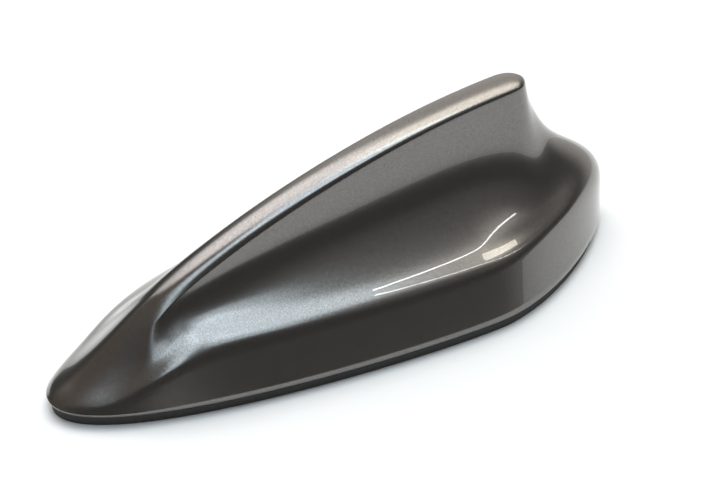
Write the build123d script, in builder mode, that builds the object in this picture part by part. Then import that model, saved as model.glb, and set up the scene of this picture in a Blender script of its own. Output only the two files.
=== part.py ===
from build123d import *
import math
import os

# Roof antenna cover: a painted fin moulding, open below, on a rubber base seal.
# Millimetres, +X to the tail, +Y to the car's right, +Z up, origin under the middle of the base.

# Overall sizes
LENGTH = 175.0
HALF_WIDTH = 35.1
X_WIDE = 115.0

# Plan outline of the rim, as pulls of two curves that meet at the widest point
NOSE_PULL = 23.0
WIDE_PULL_FRONT = 20.5
WIDE_PULL_REAR = 22.0
TAIL_PULL = 13.6

# Ridge line in side view, as the curve's three controls behind and above the nose
RIDGE_NOSE = (7.2, 17.2)
RIDGE_MID = (66.9, 49.5)
RIDGE_TIP = (141.9, 52.5)

# Rim, wall and seal
SEAL_HEIGHT = 2.4
SEAL_WIDTH = 3.2
SEAL_SETBACK = 0.9
RIM_Z = 3.8
RIM_ROLL = 1.2
RIM_ROLL_PULL = 0.35
RIM_ROLL_LIFT = 0.1
WALL = 2.4
FLANGE_WIDTH = 4.6
FLANGE_THICK = 1.6

# Where the ribs of the skin stand on the ridge: they fan at the nose and behind the tip
FAN_FRONT = 30.0
FAN_REAR = 139.5
FAN_SOFT = 4.0

# Values along the skin, each as (share of the way round the rim, value): 0 nose, 1 tail
DRAFT = [(0, 30.0), (0.14, 21.0), (0.28, 25.0), (0.72, 25.0), (0.88, 16.0), (1, 0.5)]
SHOULDER_Z = [(0, 6.2), (0.05, 6.0), (0.1, 7.8), (0.16, 12.4), (0.24, 16.2),
              (0.64, 17.5), (0.8, 18.3), (0.9, 20.4), (1, 21.2)]
SHOULDER_SOFT = [(0, 0.8), (0.06, 0.85), (0.12, 1.9), (0.24, 3.3),
                 (0.57, 3.2), (0.8, 2.2), (0.9, 3.8), (1, 5.4)]
SHOULDER_ROUND = [(0.76, 0.0), (0.9, 0.45), (1, 0.75)]
DECK_RUN = [(0.15, 8.0), (0.3, 9.0), (0.64, 9.0), (0.8, 8.5), (1, 12.0)]
DECK_RISE = [(0.15, 27.0), (0.3, 24.0), (0.64, 20.0), (0.8, 19.0), (0.9, 21.0), (1, 22.0)]
ROOT_R = [(0.15, 0.42), (0.4, 0.35), (0.7, 0.32), (0.85, 0.32), (1, 0.30)]
ROOT_Z = [(0.15, 0.30), (0.42, 0.19), (0.7, 0.18), (0.85, 0.24), (1, 0.36)]
EDGE_R = [(0.12, 7.6), (0.15, 5.9), (0.2, 4.9), (0.3, 4.7), (0.45, 4.8), (0.64, 5.0), (1, 5.1)]
EDGE_DROP = [(0.09, 2.3), (0.13, 2.8), (0.165, 2.4), (0.2, 1.95), (0.45, 1.8), (0.64, 1.5), (1, 1.3)]
ROLL_LEAN = [(0.13, 50.0), (0.38, 32.0), (0.64, 26.0), (1, 26.0)]
FLANK_LEAN = [(0.13, 34.0), (0.3, 14.0), (0.64, 9.0), (1, 14.0)]
FLANK_SHARE = [(0.13, 0.3), (0.25, 0.36), (0.4, 0.4), (0.7, 0.4), (0.85, 0.3), (1, 0.17)]
EDGE_IN = (0.085, 0.14)
CROWN_IN = (0.095, 0.25)
FLANK_IN = (0.115, 0.2)
SCOOP_IN = (0.11, 0.27)
DOME_RISE = 0.36
STATIONS = [0, 0.03, 0.06, 0.085, 0.105, 0.125, 0.145, 0.17, 0.2, 0.25, 0.32, 0.4, 0.48, 0.56, 0.635, 0.71,
            0.78, 0.84, 0.89, 0.93, 0.965, 1]
CORE_STATIONS = [0, 0.05, 0.1, 0.145, 0.2, 0.32, 0.48, 0.635, 0.78, 0.89, 0.95, 1]
KEY_BLEND = 0.05

# Inside the moulding
CORE_BASE = -1.0
RIB_X = (-14.0, 30.0)
RIB_THICK = 1.8
RIB_FOOT = 12.0
NIB_X = (-32.0, 36.0)
NIB_WIDTH = 8.0
NIB_REACH = 1.6
NIB_THICK = 1.4

NOSE_X = -LENGTH / 2
FRONT = [(0, 0), (0, NOSE_PULL), (X_WIDE - WIDE_PULL_FRONT, HALF_WIDTH), (X_WIDE, HALF_WIDTH)]
REAR = [(X_WIDE, HALF_WIDTH), (X_WIDE + WIDE_PULL_REAR, HALF_WIDTH), (LENGTH, TAIL_PULL), (LENGTH, 0)]
RIDGE = [(0, 0), RIDGE_NOSE, RIDGE_MID, RIDGE_TIP]


def curve(p, t):
    k = ((1 - t) ** 3, 3 * (1 - t) ** 2 * t, 3 * (1 - t) * t * t, t ** 3)
    return tuple(sum(k[j] * p[j][i] for j in range(4)) for i in range(2))


def curve_way(p, t):
    k = (3 * (1 - t) ** 2, 6 * (1 - t) * t, 3 * t * t)
    return tuple(sum(k[j] * (p[j + 1][i] - p[j][i]) for j in range(3)) for i in range(2))


def rim_track():
    # Way along the half outline at even steps of its two curves
    track = [(0.0, 0.0)]
    last = FRONT[0]
    for i in range(1, 601):
        here = curve(FRONT, i / 300) if i <= 300 else curve(REAR, i / 300 - 1)
        track.append((track[-1][0] + math.dist(here, last), i / 300))
        last = here
    return track


TRACK = rim_track()


def rim(u):
    want = u * TRACK[-1][0]
    i = max(j for j in range(len(TRACK) - 1) if TRACK[j][0] <= want)
    (low, t), (high, t_next) = TRACK[i], TRACK[i + 1]
    t += (t_next - t) * (want - low) / (high - low)
    if t <= 1:
        return curve(FRONT, t), curve_way(FRONT, t)
    return curve(REAR, t - 1), curve_way(REAR, t - 1)


def ridge(x):
    low, high = 0.0, 1.0
    for _ in range(40):
        mid = (low + high) / 2
        if curve(RIDGE, mid)[0] < x:
            low = mid
        else:
            high = mid
    way = curve_way(RIDGE, low)
    return curve(RIDGE, low)[1], way[1] / way[0]


def foot(x):
    half = (x - FAN_FRONT) / 2
    x = (x + FAN_FRONT) / 2 + math.sqrt(half * half + FAN_SOFT ** 2)
    half = (x - FAN_REAR) / 2
    return (x + FAN_REAR) / 2 - math.sqrt(half * half + FAN_SOFT ** 2)


def at_key(keys, u):
    # Smooth value between keys, level at the ends and never past a key
    if u <= keys[0][0]:
        return keys[0][1]
    if u >= keys[-1][0]:
        return keys[-1][1]
    n = len(keys)
    s = [(keys[i + 1][1] - keys[i][1]) / (keys[i + 1][0] - keys[i][0]) for i in range(n - 1)]
    m = [0.0] * n
    for i in range(1, n - 1):
        if s[i - 1] * s[i] > 0:
            m[i] = 2 * s[i - 1] * s[i] / (s[i - 1] + s[i])
    i = max(j for j in range(n - 1) if keys[j][0] <= u)
    h = keys[i + 1][0] - keys[i][0]
    t = (u - keys[i][0]) / h
    start = (2 * t ** 3 - 3 * t * t + 1) * keys[i][1] + (t ** 3 - 2 * t * t + t) * h * m[i]
    return start + (3 * t * t - 2 * t ** 3) * keys[i + 1][1] + (t ** 3 - t * t) * h * m[i + 1]


def along(keys, u):
    # The value averaged over a short way to both sides, so that no key shows in a reflection
    sides = range(-4, 5)
    return sum((5 - abs(i)) * at_key(keys, u + KEY_BLEND * i / 4) for i in sides) / 25


def fade(u, ends):
    t = min(max((u - ends[0]) / (ends[1] - ends[0]), 0.0), 1.0)
    return t * t * (3 - 2 * t)


def mix(a, b, t):
    return a[0] + (b[0] - a[0]) * t, a[1] + (b[1] - a[1]) * t


def rib(u):
    # Foot on the ridge, way out and reach to the rim, then the controls of the skin in that plane
    (cx, cy), (dx, dy) = rim(u)
    fx = foot(cx)
    zr, lift = ridge(fx)
    reach = math.hypot(cx - fx, cy)
    ox, oy = (cx - fx) / reach, cy / reach
    square = max(0.3, (oy * dx - ox * dy) / math.hypot(dx, dy))
    lean = math.tan(math.radians(along(DRAFT, u))) / square
    slope = lift * ox
    zs = along(SHOULDER_Z, u)
    soft = along(SHOULDER_SOFT, u)
    wall = [(reach - (zs - soft * i - RIM_Z) * lean, zs - soft * i) for i in (3, 2, 1, 0)]
    rs = wall[3][0]

    def dome(q):
        start = (2 * q ** 3 - 3 * q * q + 1) * zs + (q ** 3 - 2 * q * q + q) * rs * DOME_RISE
        return rs * (1 - q), start + (3 * q * q - 2 * q ** 3) * zr - (q ** 3 - q * q) * rs * slope

    # Blade edge and crown, out of the plain dome of the nose
    re = min(along(EDGE_R, u), 0.55 * rs)
    drop = along(EDGE_DROP, u)
    ze = zr + slope * re - drop
    rl = math.radians(along(ROLL_LEAN, u))
    up = min(0.45 * re, 0.6 * drop / math.cos(rl))
    e = mix(dome(0.65), (re, ze), fade(u, EDGE_IN))
    q = mix(dome(0.76), (re - up * math.sin(rl), ze + up * math.cos(rl)), fade(u, CROWN_IN))
    c = mix(dome(0.88), (0.45 * re, zr + slope * 0.45 * re - 0.1), fade(u, CROWN_IN))
    # Plain run from the shoulder up to the edge
    h = (rs - e[0]) / 3
    k = h / max(e[0] - q[0], 0.2)
    below_edge = (e[0] + k * (e[0] - q[0]), e[1] + k * (e[1] - q[1]))
    plain = [(rs, zs), (rs - h, zs + DOME_RISE * h), below_edge, e]
    # Deck, root and flank of the scoop, out of the plain run
    run = min(along(DECK_RUN, u), 0.45 * rs)
    rise = math.radians(along(DECK_RISE, u))
    fl = math.radians(along(FLANK_LEAN, u))
    deck = (rs - run * math.cos(rise), zs + run * math.sin(rise))
    root = (re + (rs - re) * along(ROOT_R, u), zs + (zr - zs) * along(ROOT_Z, u))
    tall = along(FLANK_SHARE, u) * (e[1] - zs)
    flank = (e[0] + tall * math.tan(fl), e[1] - tall)
    d = mix(curve(plain, 0.25), deck, fade(u, SCOOP_IN))
    r = mix(curve(plain, 0.5), root, fade(u, SCOOP_IN))
    f = mix(curve(plain, 0.78), flank, fade(u, FLANK_IN))
    ease = along(SHOULDER_ROUND, u) / 2
    s = tuple(wall[3][i] + ease * (wall[2][i] + deck[i] - 2 * wall[3][i]) for i in (0, 1))
    lower = wall[:3] + [s, d, r, f, e, (2 * e[0] - f[0], 2 * e[1] - f[1])]
    dip = zr + slope * c[0] - c[1]
    over_edge = (2 * e[0] - q[0], 2 * e[1] - q[1])
    far_crown = (-c[0], zr - slope * c[0] - dip)
    upper = [over_edge, e, q, c, (0.0, zr + dip / 2), far_crown]
    return fx, ox, oy, reach, lower, upper


def knots(controls):
    # Points and end directions of the smooth run over the controls
    points = [
        tuple((a[i] + 4 * b[i] + c[i]) / 6 for i in (0, 1))
        for a, b, c in zip(controls, controls[1:], controls[2:])
    ]
    start = tuple((controls[2][i] - controls[0][i]) / 2 for i in (0, 1))
    end = tuple((controls[-1][i] - controls[-3][i]) / 2 for i in (0, 1))
    return points, start, end


def inward(p, wall):
    # A control moved into the moulding by its wall, less far down than in at the rim
    return max(p[0] - wall, 0.25 * p[0]) if p[0] > 0 else min(p[0] + wall, 0.25 * p[0]), p[1] - wall


def outer_rib(u):
    # The rolled rim, the wall, the run up to the blade edge and the run over the crown, in the rib's plane
    fx, ox, oy, reach, lower, upper = rib(u)
    plane = Plane(origin=(fx + NOSE_X, 0, 0), x_dir=(ox, oy, 0), z_dir=(oy, -ox, 0))

    def smooth(controls):
        # One curve over four or five controls
        points, start, end = knots(controls)
        ends = [Vector(ox * way[0], oy * way[0], way[1]) for way in (start, end)]
        places = [plane.from_local_coords(Vector(*p)) for p in points]
        return Edge.make_spline(places, tangents=ends, parameters=list(range(len(points))), scale=False)

    bottom = (reach - RIM_ROLL, SEAL_HEIGHT)
    roll = Bezier(bottom, (reach - RIM_ROLL_PULL, SEAL_HEIGHT + RIM_ROLL_LIFT), (reach, RIM_Z))
    side = Line((reach, RIM_Z), knots(lower)[0][0])
    edges = [(plane * roll).edge(), (plane * side).edge()]
    return edges + [smooth(lower[i:i + 5]) for i in (0, 2, 4)] + [smooth(upper)]


def inner_rib(u, wall):
    # Straight lines a wall's thickness inside the skin
    fx, ox, oy, reach, lower, upper = rib(u)
    points = [(reach - wall, CORE_BASE)]
    points += knots([inward(p, wall) for p in lower])[0] + knots([inward(p, wall) for p in upper])[0][1:]
    plane = Plane(origin=(fx + NOSE_X, 0, 0), x_dir=(ox, oy, 0), z_dir=(oy, -ox, 0))
    return [(plane * Line(a, b)).edge() for a, b in zip(points, points[1:])]


def skin(wall):
    # The closed skin: each strip is carried through all the ribs, then mirrored and closed below
    ribs = [inner_rib(u, wall) for u in CORE_STATIONS] if wall else [outer_rib(u) for u in STATIONS]
    strips = list(Shell.make_loft([Wire(edges) for edges in ribs]).faces())
    strips += [face.mirror(Plane.XZ) for face in strips]
    low = min(face.bounding_box().min.Z for face in strips)
    edges = [e for f in strips for e in f.edges() if e.bounding_box().max.Z < low + 0.01]
    strips.append(Face(Wire(edges)))
    return Solid(Shell(strips))


def side_at(x):
    # Half width of the rim outline at a place along the length
    low, high = 0.0, 1.0
    for _ in range(40):
        mid = (low + high) / 2
        if rim(mid)[0][0] + NOSE_X < x:
            low = mid
        else:
            high = mid
    return rim(low)[0][1]


def outline(inset):
    # The rim outline moved in all round, as a face: each end keeps its round, less the inset
    nose_long = FRONT[2][0]
    nose_round = 1.5 * NOSE_PULL ** 2 / nose_long
    nose_pull = math.sqrt((nose_round - inset) * (nose_long - inset) / 1.5)
    tail_long = LENGTH - REAR[1][0]
    tail_round = 1.5 * TAIL_PULL ** 2 / tail_long
    tail_pull = math.sqrt((tail_round - inset) * (tail_long - inset) / 1.5)
    side_y = HALF_WIDTH - inset
    front = [(inset, 0), (inset, nose_pull), (FRONT[2][0], side_y), (X_WIDE, side_y)]
    rear = [(X_WIDE, side_y), (REAR[1][0], side_y), (LENGTH - inset, tail_pull), (LENGTH - inset, 0)]
    with BuildSketch() as sheet:
        with BuildLine():
            for side in (1, -1):
                Bezier(*[(x + NOSE_X, side * y) for x, y in front])
                Bezier(*[(x + NOSE_X, side * y) for x, y in rear])
        make_face()
    return sheet.sketch


outer_skin = skin(0)
middle_skin = skin(WALL / 2)
inner_skin = skin(WALL)
flange_outer = outline((RIM_ROLL + WALL) / 2)
flange_inner = outline(FLANGE_WIDTH)
seal_outer = outline(SEAL_SETBACK)
seal_inner = outline(SEAL_SETBACK + SEAL_WIDTH)

# Two plates across the hollow, cut to the middle of the moulding's wall
with BuildPart() as plates:
    for x in RIB_X:
        with Locations((x, 0, RIB_FOOT)):
            Box(RIB_THICK, 2 * HALF_WIDTH, RIDGE_TIP[1], align=(Align.CENTER, Align.CENTER, Align.MIN))
    add(middle_skin, mode=Mode.INTERSECT)

with BuildPart() as cover_shell:
    add(outer_skin)
    add(inner_skin, mode=Mode.SUBTRACT)
    add(plates.part)
    # Inner flange that the seal sits under
    with BuildSketch(Plane.XY.offset(SEAL_HEIGHT)):
        add(flange_outer)
        add(flange_inner, mode=Mode.SUBTRACT)
    extrude(amount=FLANGE_THICK)
    # Snap nibs on the flange, with a sloping lead-in below
    for x in NIB_X:
        for side in (1, -1):
            edge = side_at(x) - FLANGE_WIDTH
            nib_low = (side * (edge + NIB_REACH), SEAL_HEIGHT)
            nib_in = (side * (edge - NIB_REACH), SEAL_HEIGHT + FLANGE_THICK)
            nib_top = (side * (edge - NIB_REACH), SEAL_HEIGHT + FLANGE_THICK + NIB_THICK)
            nib_back = (side * (edge + NIB_REACH), SEAL_HEIGHT + FLANGE_THICK + NIB_THICK)
            with BuildSketch(Plane(origin=(x, 0, 0), x_dir=(0, 1, 0), z_dir=(1, 0, 0))):
                Polygon(nib_low, nib_in, nib_top, nib_back, align=None)
            extrude(amount=NIB_WIDTH / 2, both=True)
cover_shell.part.label = "cover_shell"

with BuildPart() as base_seal:
    with BuildSketch():
        add(seal_outer)
        add(seal_inner, mode=Mode.SUBTRACT)
    extrude(amount=SEAL_HEIGHT)
base_seal.part.label = "base_seal"

os.makedirs("parts", exist_ok=True)
export_step(cover_shell.part, "parts/cover_shell.step")
export_step(base_seal.part, "parts/base_seal.step")
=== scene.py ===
import math

import bpy
from mathutils import Matrix, Vector


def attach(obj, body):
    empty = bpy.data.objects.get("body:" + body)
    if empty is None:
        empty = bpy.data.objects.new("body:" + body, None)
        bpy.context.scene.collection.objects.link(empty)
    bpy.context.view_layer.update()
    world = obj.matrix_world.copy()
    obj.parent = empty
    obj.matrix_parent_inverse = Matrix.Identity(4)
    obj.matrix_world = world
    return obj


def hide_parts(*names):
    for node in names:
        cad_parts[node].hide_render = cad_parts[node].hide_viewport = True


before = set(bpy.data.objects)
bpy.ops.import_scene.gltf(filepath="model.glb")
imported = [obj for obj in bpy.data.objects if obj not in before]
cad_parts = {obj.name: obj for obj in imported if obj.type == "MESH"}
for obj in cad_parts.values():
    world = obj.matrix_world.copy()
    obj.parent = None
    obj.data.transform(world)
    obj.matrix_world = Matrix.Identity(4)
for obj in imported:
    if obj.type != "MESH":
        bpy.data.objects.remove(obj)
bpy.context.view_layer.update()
scene = bpy.context.scene
MM = 0.001

# Camera, from a fit of the outline, rim, ridge, shoulder and blade edge to the photograph
IMAGE_WIDTH, IMAGE_HEIGHT = 722.0, 481.0
FOCUS_PIXELS = 1400.0
CENTRE_X, CENTRE_Y = 347.6, 236.4
AZIMUTH, ELEVATION = math.radians(-33.2), math.radians(34.8)
DISTANCE = 0.3734
TARGET = Vector((0.0, 0.0, 0.020))
SENSOR_WIDTH = 36.0
CLIP_NEAR, CLIP_FAR = 0.01, 50.0

# Outline of the rim and the ridge, in millimetres from the nose
LENGTH = 175.0
HALF_WIDTH = 35.1
X_WIDE = 115.0
NOSE_PULL = 23.0
WIDE_PULL_FRONT = 20.5
WIDE_PULL_REAR = 22.0
TAIL_PULL = 13.6
FRONT = [(0, 0), (0, NOSE_PULL),
         (X_WIDE - WIDE_PULL_FRONT, HALF_WIDTH), (X_WIDE, HALF_WIDTH)]
REAR = [(X_WIDE, HALF_WIDTH), (X_WIDE + WIDE_PULL_REAR, HALF_WIDTH),
        (LENGTH, TAIL_PULL), (LENGTH, 0)]
RIDGE = [(0, 0), (7.2, 17.2), (66.9, 49.5), (141.9, 52.5)]
NOSE_X = -LENGTH / 2
RIM_Z = 3.8
RIM_ROLL = 1.2
RIM_ROLL_PULL = 0.35
RIM_ROLL_LIFT = 0.1
SEAL_HEIGHT = 2.4

# Inside of the moulding, in millimetres
WALL = 2.4
INNER_LEAST = 0.25
INNER_TOE = 1.5
FLANGE_WIDTH = 4.6
FLANGE_THICK = 1.6
FLANGE_ROUND = 0.2
SHELF = SEAL_HEIGHT + FLANGE_THICK
PLATE_X = (-14.0, 30.0)
PLATE_THICK = 1.8
PLATE_FOOT = 12.0
PLATE_SINK = WALL / 3
PLATE_LEAST = 0.3
NIB_X = (-32.0, 36.0)
NIB_WIDTH = 8.0
NIB_REACH = 1.6
NIB_THICK = 1.4

# Keys of the ribs: each is (share of the half rim from nose to tail, value)
DRAFT = [(0, 44.0), (0.05, 40.0), (0.1, 27.0), (0.14, 21.0),
         (0.28, 25.0), (0.72, 25.0), (0.88, 16.0), (1, 0.5)]
SHOULDER_Z = [(0, 6.2), (0.05, 6.0), (0.1, 7.8), (0.16, 12.4), (0.24, 16.2),
              (0.64, 17.5), (0.8, 18.3), (0.9, 20.4), (1, 21.2)]
SHOULDER_SOFT = [(0, 0.8), (0.06, 0.85), (0.12, 1.9), (0.24, 3.3),
                 (0.57, 3.2), (0.8, 2.2), (0.9, 3.8), (1, 5.4)]
SHOULDER_ROUND = [(0.0, 0.95), (0.07, 0.9), (0.15, 0.0), (0.76, 0.0), (0.9, 0.45), (1, 0.75)]
DECK_RUN = [(0.15, 7.5), (0.25, 6.5), (0.36, 5.5), (0.64, 5.0), (0.8, 4.5), (0.9, 6.0), (1, 12.0)]
DECK_RISE = [(0.15, 28.0), (0.24, 25.0), (0.36, 20.0), (0.64, 18.0),
             (0.8, 18.0), (0.9, 20.0), (1, 22.0)]
ROOT_R = [(0.15, 0.38), (0.25, 0.31), (0.7, 0.31), (0.85, 0.32), (1, 0.30)]
ROOT_Z = [(0.15, 0.31), (0.25, 0.33), (0.5, 0.30), (0.7, 0.29), (0.85, 0.30), (1, 0.36)]
EDGE_R = [(0.12, 7.6), (0.15, 5.9), (0.2, 4.9), (0.3, 4.7), (0.45, 4.8), (0.64, 5.0), (1, 5.1)]
EDGE_DROP = [(0.09, 2.3), (0.13, 2.8), (0.165, 2.4), (0.2, 1.95), (0.45, 1.8), (0.64, 1.5), (1, 1.3)]
ROLL_LEAN = [(0.13, 50.0), (0.38, 32.0), (0.64, 26.0), (1, 26.0)]
FLANK_LEAN = [(0.13, 34.0), (0.24, 14.0), (0.32, 8.5), (0.64, 8.0), (1, 14.0)]
FLANK_SHARE = [(0.13, 0.3), (0.24, 0.3), (0.36, 0.4), (0.5, 0.45),
               (0.72, 0.44), (0.85, 0.34), (1, 0.17)]
KEY_BLEND = 0.05
KEY_STEPS = 4

# Where along the rim the forms of the side grow out of the plain nose
EDGE_IN = (0.085, 0.14)
CROWN_IN = (0.095, 0.25)
FLANK_IN = (0.115, 0.2)
SCOOP_IN = (0.11, 0.27)

# Shares and limits within one rib
FAN_FRONT = 30.0
FAN_REAR = 139.5
FAN_SOFT = 4.0
SQUARE_LEAST = 0.3
DOME_RISE = 0.36
DOME_EDGE, DOME_ROLL, DOME_CROWN = 0.65, 0.76, 0.88
PLAIN_DECK, PLAIN_ROOT, PLAIN_FLANK = 0.25, 0.5, 0.78
EDGE_MOST = 0.55
DECK_MOST = 0.45
ROLL_SHARE = 0.45
ROLL_DROP_SHARE = 0.6
ROLL_LEAST = 0.2
CROWN_SHARE = 0.45
CROWN_SINK = 0.1

# Steps of the mesh: SPREAD is (from, to, ribs between) along the rim
RIM_STEPS = 300
HALVINGS = 40
SPREAD = [(0, 0.1, 30), (0.1, 0.2, 52), (0.2, 0.75, 74), (0.75, 1, 48)]
CROWN_STEPS = 32
SIDE_STEPS = 88
WALL_STEPS = 7
ROLL_STEPS = 6
FLANGE_POINTS = 4
INNER_FOOT_STEPS = 4
INNER_SIDE_STEPS = 28
INNER_CROWN_STEPS = 10
MEET = 0.03
SPOT_DIGITS = 4

# Colours and texture sizes
PAINT_DARK, PAINT_LIGHT = (0.120, 0.115, 0.109), (0.200, 0.192, 0.182)
RUBBER_DARK, RUBBER_LIGHT = (0.020, 0.019, 0.018), (0.042, 0.040, 0.038)
TABLE_DARK, TABLE_LIGHT = (0.88, 0.875, 0.865), (0.92, 0.918, 0.912)
FLAKE_SCALE = 5200.0
RUBBER_GRAIN = 900.0
TABLE_GRAIN = 6.0

# Table, lamps and room
TABLE_HALF = 1200.0
TABLE_DROP = 0.00005
LAMP_DISTANCE = 1.6
TUBE_COLOUR = (1.0, 0.99, 0.97)
PANEL_COLOUR = (1.0, 0.95, 0.84)
ROOM_COLOUR = (0.140, 0.134, 0.126)
COOL = (0.80, 0.94, 1.05)
PATCHES = [
    # Azimuth, elevation, full within, none beyond, strength, colour
    (30, 84, 13, 21, 3.3, COOL),
    (-80, 72, 3, 11, 2.4, COOL),
    (-155, 72, 5, 14, 2.8, COOL),
    (-140, 58, 3, 10, 2.6, COOL),
    (96, 53, 8, 24, 3.3, (1.0, 0.96, 0.96)),
    (58, 30, 10, 34, 0.75, (1.0, 0.94, 0.88)),
    (38, 60, 8, 22, 3.5, (1.0, 0.94, 0.84)),
    (-30, 50, 10, 35, 0.14, (1.0, 0.98, 0.96)),
    (15, 6, 8, 30, 0.6, (1.0, 0.97, 0.92)),
    (150, 45, 15, 40, 0.14, (1.0, 0.78, 0.62)),
]


def bez(p, t):
    k = ((1 - t) ** 3, 3 * (1 - t) ** 2 * t, 3 * (1 - t) * t * t, t ** 3)
    return tuple(sum(k[j] * p[j][i] for j in range(4)) for i in (0, 1))


def bez_way(p, t):
    k = (3 * (1 - t) ** 2, 6 * (1 - t) * t, 3 * t * t)
    return tuple(sum(k[j] * (p[j + 1][i] - p[j][i]) for j in range(3)) for i in (0, 1))


def run_over(controls, s):
    # A smooth curve led by its controls, s from 0 to 1
    spans = len(controls) - 3
    i = min(int(s * spans), spans - 1)
    t = s * spans - i
    k = ((1 - t) ** 3 / 6, (3 * t ** 3 - 6 * t * t + 4) / 6,
         (-3 * t ** 3 + 3 * t * t + 3 * t + 1) / 6, t ** 3 / 6)
    return tuple(sum(k[j] * controls[i + j][n] for j in range(4)) for n in (0, 1))


def rim_track():
    # Length run so far at even steps of the two curves of the half rim
    track = [(0.0, 0.0)]
    last = FRONT[0]
    for i in range(1, 2 * RIM_STEPS + 1):
        t = i / RIM_STEPS
        here = bez(FRONT, t) if t <= 1 else bez(REAR, t - 1)
        track.append((track[-1][0] + math.dist(here, last), t))
        last = here
    return track


TRACK = rim_track()


def rim(u):
    # Point and direction of the half rim at a share of its length
    want = u * TRACK[-1][0]
    low, high = 0, len(TRACK) - 1
    while high - low > 1:
        mid = (low + high) // 2
        if TRACK[mid][0] <= want:
            low = mid
        else:
            high = mid
    a, b = TRACK[low], TRACK[high]
    t = a[1] + (b[1] - a[1]) * (want - a[0]) / (b[0] - a[0])
    if t <= 1:
        return bez(FRONT, t), bez_way(FRONT, t)
    return bez(REAR, t - 1), bez_way(REAR, t - 1)


def half_search(value_at, want):
    # Where a rising function reaches a value, between 0 and 1
    low, high = 0.0, 1.0
    for _ in range(HALVINGS):
        mid = (low + high) / 2
        if value_at(mid) < want:
            low = mid
        else:
            high = mid
    return low


def ridge(x):
    # Height and slope of the ridge
    t = half_search(lambda s: bez(RIDGE, s)[0], x)
    way = bez_way(RIDGE, t)
    return bez(RIDGE, t)[1], way[1] / way[0]


def foot(x):
    # Where a rib meets the ridge: ribs fan round the nose and the tail, and stand square between
    h = (x - FAN_FRONT) / 2
    x = (x + FAN_FRONT) / 2 + math.hypot(h, FAN_SOFT)
    h = (x - FAN_REAR) / 2
    return (x + FAN_REAR) / 2 - math.hypot(h, FAN_SOFT)


def key(keys, u):
    # A curve through the keys that doesn't overshoot them
    if u <= keys[0][0]:
        return keys[0][1]
    if u >= keys[-1][0]:
        return keys[-1][1]
    slopes = [(b[1] - a[1]) / (b[0] - a[0]) for a, b in zip(keys, keys[1:])]
    ways = [0.0]
    for a, b in zip(slopes, slopes[1:]):
        ways.append(2 * a * b / (a + b) if a * b > 0 else 0.0)
    ways.append(0.0)
    i = max(j for j in range(len(slopes)) if keys[j][0] <= u)
    h = keys[i + 1][0] - keys[i][0]
    t = (u - keys[i][0]) / h
    ends = (2 * t ** 3 - 3 * t * t + 1) * keys[i][1] + (3 * t * t - 2 * t ** 3) * keys[i + 1][1]
    return ends + h * ((t ** 3 - 2 * t * t + t) * ways[i] + (t ** 3 - t * t) * ways[i + 1])


def along(keys, u):
    # The curve of the keys, averaged over a short way to either side
    total = sum((KEY_STEPS + 1 - abs(i)) * key(keys, u + KEY_BLEND * i / KEY_STEPS)
                for i in range(-KEY_STEPS, KEY_STEPS + 1))
    return total / (KEY_STEPS + 1) ** 2


def fade(u, ends):
    t = min(max((u - ends[0]) / (ends[1] - ends[0]), 0.0), 1.0)
    return t * t * (3 - 2 * t)


def between(a, b, t):
    return a[0] + (b[0] - a[0]) * t, a[1] + (b[1] - a[1]) * t


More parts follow.
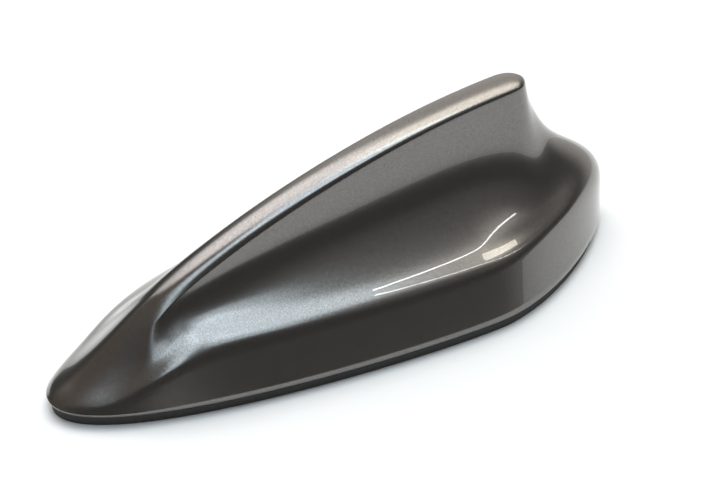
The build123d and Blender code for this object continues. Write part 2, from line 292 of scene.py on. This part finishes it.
def rib(u):
    # Controls of one rib, in its upright plane: reach from the ridge and height
    (cx, cy), (dx, dy) = rim(u)
    fx = foot(cx)
    zr, lift = ridge(fx)
    reach = math.hypot(cx - fx, cy)
    ox, oy = (cx - fx) / reach, cy / reach
    square = max(SQUARE_LEAST, (oy * dx - ox * dy) / math.hypot(dx, dy))
    lean = math.tan(math.radians(along(DRAFT, u))) / square
    slope = lift * ox
    zs = along(SHOULDER_Z, u)
    soft = along(SHOULDER_SOFT, u)
    wall = [(reach - (zs - soft * i - RIM_Z) * lean, zs - soft * i) for i in (3, 2, 1, 0)]
    rs = wall[3][0]

    def dome(q):
        low = (2 * q ** 3 - 3 * q * q + 1) * zs + (q ** 3 - 2 * q * q + q) * rs * DOME_RISE
        return rs * (1 - q), low + (3 * q * q - 2 * q ** 3) * zr - (q ** 3 - q * q) * rs * slope

    # Blade edge and crown, out of the plain dome of the nose
    re = min(along(EDGE_R, u), EDGE_MOST * rs)
    drop = along(EDGE_DROP, u)
    ze = zr + slope * re - drop
    roll = math.radians(along(ROLL_LEAN, u))
    up = min(ROLL_SHARE * re, ROLL_DROP_SHARE * drop / math.cos(roll))
    e = between(dome(DOME_EDGE), (re, ze), fade(u, EDGE_IN))
    t = fade(u, CROWN_IN)
    q = between(dome(DOME_ROLL), (re - up * math.sin(roll), ze + up * math.cos(roll)), t)
    crown = (CROWN_SHARE * re, zr + slope * CROWN_SHARE * re - CROWN_SINK)
    c = between(dome(DOME_CROWN), crown, t)

    # A plain run from shoulder to edge at the nose, then deck, scoop and flank
    h = (rs - e[0]) / 3
    k = h / max(e[0] - q[0], ROLL_LEAST)
    plain = [(rs, zs), (rs - h, zs + DOME_RISE * h),
             (e[0] + k * (e[0] - q[0]), e[1] + k * (e[1] - q[1])), e]
    rise = math.radians(along(DECK_RISE, u))
    run = min(along(DECK_RUN, u), DECK_MOST * rs)
    deck = (rs - run * math.cos(rise), zs + run * math.sin(rise))
    root = (re + (rs - re) * along(ROOT_R, u), zs + (zr - zs) * along(ROOT_Z, u))
    fall = along(FLANK_SHARE, u) * (e[1] - zs)
    flank = (e[0] + fall * math.tan(math.radians(along(FLANK_LEAN, u))), e[1] - fall)
    t = fade(u, SCOOP_IN)
    d = between(bez(plain, PLAIN_DECK), deck, t)
    r = between(bez(plain, PLAIN_ROOT), root, t)
    f = between(bez(plain, PLAIN_FLANK), flank, fade(u, FLANK_IN))
    ease = along(SHOULDER_ROUND, u) / 2
    s = tuple(wall[3][i] + ease * (wall[2][i] + d[i] - 2 * wall[3][i]) for i in (0, 1))
    lower = wall[:3] + [s, d, r, f, e, (2 * e[0] - f[0], 2 * e[1] - f[1])]
    dip = zr + slope * c[0] - c[1]
    upper = [(2 * e[0] - q[0], 2 * e[1] - q[1]), e, q, c,
             (0.0, zr + dip / 2), (-c[0], zr - slope * c[0] - dip)]
    return fx, ox, oy, reach, lower, upper


def steps(a, b, n):
    return [between(a, b, i / n) for i in range(n)]


def inward(p):
    if p[0] > 0:
        return max(p[0] - WALL, INNER_LEAST * p[0]), p[1] - WALL
    return min(p[0] + WALL, INNER_LEAST * p[0]), p[1] - WALL


def outer_line(reach, lower, upper):
    # From the top of the blade down to the rolled rim
    line = [run_over(upper, 1 - i / CROWN_STEPS) for i in range(CROWN_STEPS)]
    line += [run_over(lower, 1 - i / SIDE_STEPS) for i in range(SIDE_STEPS)]
    line += steps(run_over(lower, 0), (reach, RIM_Z), WALL_STEPS)
    low = (reach - RIM_ROLL, SEAL_HEIGHT)
    pull = (reach - RIM_ROLL_PULL, SEAL_HEIGHT + RIM_ROLL_LIFT)
    for i in range(ROLL_STEPS + 1):
        t = i / ROLL_STEPS
        k = ((1 - t) ** 2, 2 * (1 - t) * t, t * t)
        line.append(tuple(k[0] * b + k[1] * m + k[2] * a
                          for a, m, b in zip(low, pull, (reach, RIM_Z))))
    return line


def inner_line(reach, lower, upper):
    # Round the flange and up inside the wall to the underside of the blade's top
    lower = [inward(p) for p in lower]
    upper = [inward(p) for p in upper]
    edge = reach - FLANGE_WIDTH
    line = [(edge + FLANGE_ROUND, SEAL_HEIGHT), (edge, SEAL_HEIGHT + FLANGE_ROUND),
            (edge, SHELF - FLANGE_ROUND), (edge + FLANGE_ROUND, SHELF)]
    top = run_over(lower, 0)
    start = (min(reach - WALL, top[0] + INNER_TOE), SHELF)
    line += steps(start, (top[0], max(top[1], SHELF)), INNER_FOOT_STEPS)
    line += [run_over(lower, i / INNER_SIDE_STEPS) for i in range(INNER_SIDE_STEPS)]
    line += [run_over(upper, i / INNER_CROWN_STEPS) for i in range(INNER_CROWN_STEPS + 1)]
    return line[:FLANGE_POINTS] + [(r, max(z, SHELF)) for r, z in line[FLANGE_POINTS:]]


def mesh_of(name, verts, faces, smooth):
    mesh = bpy.data.meshes.new(name)
    mesh.from_pydata([(x * MM, y * MM, z * MM) for x, y, z in verts], [], faces)
    mesh.validate()
    mesh.polygons.foreach_set("use_smooth", [smooth] * len(mesh.polygons))
    return mesh


def body_mesh():
    # Lines over the outside and the inside of every rib, mirrored and joined along the middle
    shares = []
    for low, high, n in SPREAD:
        shares += [low + (high - low) * i / n for i in range(n)]
    lines = []
    for u in shares + [1.0]:
        fx, ox, oy, reach, lower, upper = rib(u)
        line = outer_line(reach, lower, upper) + inner_line(reach, lower, upper)
        line = [(fx + ox * r + NOSE_X, oy * r, z) for r, z in line]
        # Points of neighbouring lines that all but meet where the lines fan are one point
        if lines:
            line = [old if math.dist(old, new) < MEET else new
                    for old, new in zip(lines[-1], line)]
        lines.append(line)
    verts, faces, index = [], [], {}
    for side in (1, -1):
        grid = []
        for line in lines:
            row = []
            for x, y, z in line:
                # Adding zero makes minus zero plain zero, so that both sides share the middle
                spot = (round(x, SPOT_DIGITS), round(side * y, SPOT_DIGITS) + 0.0,
                        round(z, SPOT_DIGITS))
                if spot not in index:
                    index[spot] = len(verts)
                    verts.append((x, side * y, z))
                row.append(index[spot])
            grid.append(row)
        for a, b in zip(grid, grid[1:]):
            for i in range(len(a) - 1):
                quad = [a[i], a[i + 1], b[i + 1], b[i]]
                quad = [v for n, v in enumerate(quad) if v not in quad[:n]]
                if len(quad) > 2:
                    faces.append(quad if side > 0 else quad[::-1])
    return mesh_of("cover_body", verts, faces, True)


def share_at(x):
    # Share of the half rim at a place along the part
    return half_search(lambda s: rim(s)[0][0] + NOSE_X, x)


def plate_mesh(name, x):
    # A plate across the hollow, from its foot up into the blade
    _, _, _, reach, lower, upper = rib(share_at(x))
    inside = inner_line(reach, lower, upper)[FLANGE_POINTS + INNER_FOOT_STEPS:]
    levels = [(r + PLATE_SINK, z) for r, z in inside
              if z > PLATE_FOOT + PLATE_LEAST and r > PLATE_LEAST]
    levels = [(levels[0][0], PLATE_FOOT)] + levels
    verts, faces = [], []
    for end in (-1, 1):
        for r, z in levels:
            verts += [(x + end * PLATE_THICK / 2, -r, z), (x + end * PLATE_THICK / 2, r, z)]
    n = 2 * len(levels)
    for i in range(0, n - 2, 2):
        faces.append((i + 1, i, i + 2, i + 3))
        faces.append((n + i, n + i + 1, n + i + 3, n + i + 2))
        faces.append((i, n + i, n + i + 2, i + 2))
        faces.append((n + i + 1, i + 1, i + 3, n + i + 3))
    faces += [(0, 1, n + 1, n), (n - 1, n - 2, 2 * n - 2, 2 * n - 1)]
    return mesh_of(name, verts, faces, False)


def nib_mesh(name, x, side):
    # A snap nib on the flange, with a sloping lead-in below
    edge = rim(share_at(x))[0][1] - FLANGE_WIDTH
    shape = [(edge + NIB_REACH, SEAL_HEIGHT), (edge - NIB_REACH, SHELF),
             (edge - NIB_REACH, SHELF + NIB_THICK), (edge + NIB_REACH, SHELF + NIB_THICK)]
    verts = [(x + end * NIB_WIDTH / 2, side * y, z) for end in (-1, 1) for y, z in shape]
    faces = [(0, 1, 2, 3), (7, 6, 5, 4)]
    faces += [(i, 4 + i, 4 + (i + 1) % 4, (i + 1) % 4) for i in range(4)]
    return mesh_of(name, verts, [f if side > 0 else f[::-1] for f in faces], False)


def nodes_of(name):
    mat = bpy.data.materials.new(name)
    mat.use_nodes = True
    tree = mat.node_tree
    tree.nodes.clear()
    out = tree.nodes.new("ShaderNodeOutputMaterial")
    bsdf = tree.nodes.new("ShaderNodeBsdfPrincipled")
    tree.links.new(bsdf.outputs["BSDF"], out.inputs["Surface"])
    return mat, tree, bsdf


def texture(tree, kind, scale):
    # A texture in the object's own coordinates
    coords = tree.nodes.new("ShaderNodeTexCoord")
    node = tree.nodes.new(kind)
    node.inputs["Scale"].default_value = scale
    tree.links.new(coords.outputs["Object"], node.inputs["Vector"])
    return node


def tinted(tree, source, dark, light, target):
    # A texture's value turned into a colour between two
    ramp = tree.nodes.new("ShaderNodeValToRGB")
    ramp.color_ramp.elements[0].color = (*dark, 1)
    ramp.color_ramp.elements[1].color = (*light, 1)
    tree.links.new(source, ramp.inputs["Fac"])
    tree.links.new(ramp.outputs["Color"], target)


def paint_material():
    # Metallic flakes under a clear coat
    mat, tree, bsdf = nodes_of("grey_metallic_paint")
    flake = texture(tree, "ShaderNodeTexVoronoi", FLAKE_SCALE)
    split = tree.nodes.new("ShaderNodeSeparateColor")
    tree.links.new(flake.outputs["Color"], split.inputs["Color"])
    tinted(tree, split.outputs["Red"], PAINT_DARK, PAINT_LIGHT, bsdf.inputs["Base Color"])
    bsdf.inputs["Metallic"].default_value = 1.0
    bsdf.inputs["Roughness"].default_value = 0.23
    bsdf.inputs["Coat Weight"].default_value = 1.0
    bsdf.inputs["Coat Roughness"].default_value = 0.02
    bsdf.inputs["Coat IOR"].default_value = 1.5
    return mat


def rubber_material():
    mat, tree, bsdf = nodes_of("black_rubber")
    noise = texture(tree, "ShaderNodeTexNoise", RUBBER_GRAIN)
    noise.inputs["Detail"].default_value = 4.0
    tinted(tree, noise.outputs["Fac"], RUBBER_DARK, RUBBER_LIGHT, bsdf.inputs["Base Color"])
    bsdf.inputs["Roughness"].default_value = 0.62
    bump = tree.nodes.new("ShaderNodeBump")
    bump.inputs["Strength"].default_value = 0.15
    bump.inputs["Distance"].default_value = 0.0002
    tree.links.new(noise.outputs["Fac"], bump.inputs["Height"])
    tree.links.new(bump.outputs["Normal"], bsdf.inputs["Normal"])
    return mat


def table_material():
    mat, tree, bsdf = nodes_of("white_table")
    noise = texture(tree, "ShaderNodeTexNoise", TABLE_GRAIN)
    noise.inputs["Detail"].default_value = 6.0
    tinted(tree, noise.outputs["Fac"], TABLE_DARK, TABLE_LIGHT, bsdf.inputs["Base Color"])
    bsdf.inputs["Roughness"].default_value = 0.6
    return mat


def sky(azimuth, elevation):
    a, e = math.radians(azimuth), math.radians(elevation)
    return Vector((math.cos(e) * math.cos(a), math.cos(e) * math.sin(a), math.sin(e)))


def strip_light(name, start, end, width, watts, colour):
    # A ceiling lamp that runs from one direction to another
    p, q = sky(*start) * LAMP_DISTANCE, sky(*end) * LAMP_DISTANCE
    data = bpy.data.lights.new(name, "AREA")
    data.shape = "RECTANGLE"
    data.size = (q - p).length
    data.size_y = width
    data.energy = watts
    data.color = colour
    lamp = bpy.data.objects.new(name, data)
    scene.collection.objects.link(lamp)
    out = (p + q).normalized()
    side = (q - p).normalized()
    side = (side - out * side.dot(out)).normalized()
    turn = Matrix((side, out.cross(side), out)).transposed().to_4x4()
    lamp.matrix_world = Matrix.Translation((p + q) / 2) @ turn


def room_world():
    # White to the camera, soft bright patches in a dim room to the paint
    world = bpy.data.worlds.new("room")
    scene.world = world
    world.use_nodes = True
    tree = world.node_tree
    tree.nodes.clear()
    out = tree.nodes.new("ShaderNodeOutputWorld")
    coords = tree.nodes.new("ShaderNodeTexCoord")
    total = tree.nodes.new("ShaderNodeVectorMath")
    total.operation = "ADD"
    total.inputs[0].default_value = ROOM_COLOUR
    for azimuth, elevation, inner, outer, strength, colour in PATCHES:
        dot = tree.nodes.new("ShaderNodeVectorMath")
        dot.operation = "DOT_PRODUCT"
        dot.inputs[1].default_value = sky(azimuth, elevation)
        tree.links.new(coords.outputs["Generated"], dot.inputs[0])
        soft = tree.nodes.new("ShaderNodeMapRange")
        soft.interpolation_type = "SMOOTHSTEP"
        soft.inputs["From Min"].default_value = math.cos(math.radians(outer))
        soft.inputs["From Max"].default_value = math.cos(math.radians(inner))
        tree.links.new(dot.outputs["Value"], soft.inputs["Value"])
        scale = tree.nodes.new("ShaderNodeVectorMath")
        scale.operation = "SCALE"
        scale.inputs[0].default_value = [strength * c for c in colour]
        tree.links.new(soft.outputs["Result"], scale.inputs["Scale"])
        add = tree.nodes.new("ShaderNodeVectorMath")
        add.operation = "ADD"
        tree.links.new(total.outputs["Vector"], add.inputs[0])
        tree.links.new(scale.outputs["Vector"], add.inputs[1])
        total = add
    room = tree.nodes.new("ShaderNodeBackground")
    tree.links.new(total.outputs["Vector"], room.inputs["Color"])
    white = tree.nodes.new("ShaderNodeBackground")
    white.inputs["Color"].default_value = (1, 1, 1, 1)
    path = tree.nodes.new("ShaderNodeLightPath")
    seen = tree.nodes.new("ShaderNodeMixShader")
    tree.links.new(path.outputs["Is Camera Ray"], seen.inputs["Fac"])
    tree.links.new(room.outputs["Background"], seen.inputs[1])
    tree.links.new(white.outputs["Background"], seen.inputs[2])
    tree.links.new(seen.outputs["Shader"], out.inputs["Surface"])


# Pieces
paint = paint_material()
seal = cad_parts["base_seal"]
seal.data.materials.clear()
seal.data.materials.append(rubber_material())
meshes = [body_mesh()]
meshes += [plate_mesh("cross_plate_" + end, x) for end, x in zip(("front", "rear"), PLATE_X)]
for end, x in zip(("front", "rear"), NIB_X):
    for hand, side in (("left", 1), ("right", -1)):
        meshes.append(nib_mesh("snap_nib_%s_%s" % (end, hand), x, side))
for mesh in meshes:
    mesh.materials.append(paint)
    piece = bpy.data.objects.new(mesh.name, mesh)
    scene.collection.objects.link(piece)
    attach(piece, "root")
    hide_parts("cover_shell")

# Table
corners = [(-TABLE_HALF, -TABLE_HALF, 0), (TABLE_HALF, -TABLE_HALF, 0),
           (TABLE_HALF, TABLE_HALF, 0), (-TABLE_HALF, TABLE_HALF, 0)]
mesh = mesh_of("table", corners, [(0, 1, 2, 3)], False)
mesh.materials.append(table_material())
table = bpy.data.objects.new("table", mesh)
scene.collection.objects.link(table)
table.location = (0, 0, -TABLE_DROP)

# Camera
back = Vector((math.sin(AZIMUTH) * math.cos(ELEVATION),
               -math.cos(AZIMUTH) * math.cos(ELEVATION), math.sin(ELEVATION)))
right = Vector((math.cos(AZIMUTH), math.sin(AZIMUTH), 0.0))
cam_data = bpy.data.cameras.new("camera")
cam = bpy.data.objects.new("camera", cam_data)
scene.collection.objects.link(cam)
turn = Matrix((right, back.cross(right), back)).transposed().to_4x4()
cam.matrix_world = Matrix.Translation(TARGET + back * DISTANCE) @ turn
cam_data.sensor_width = SENSOR_WIDTH
cam_data.lens = FOCUS_PIXELS / IMAGE_WIDTH * SENSOR_WIDTH
cam_data.shift_x = (IMAGE_WIDTH / 2 - CENTRE_X) / IMAGE_WIDTH
cam_data.shift_y = (CENTRE_Y - IMAGE_HEIGHT / 2) / IMAGE_WIDTH
cam_data.clip_start = CLIP_NEAR
cam_data.clip_end = CLIP_FAR
scene.camera = cam
scene.view_settings.view_transform = "Standard"

# Light
strip_light("tube_long", (-22, 37), (-20, 70), 0.016, 1.0, TUBE_COLOUR)
strip_light("warm_panel", (-4, 47), (-12, 60), 0.07, 0.8, PANEL_COLOUR)
room_world()
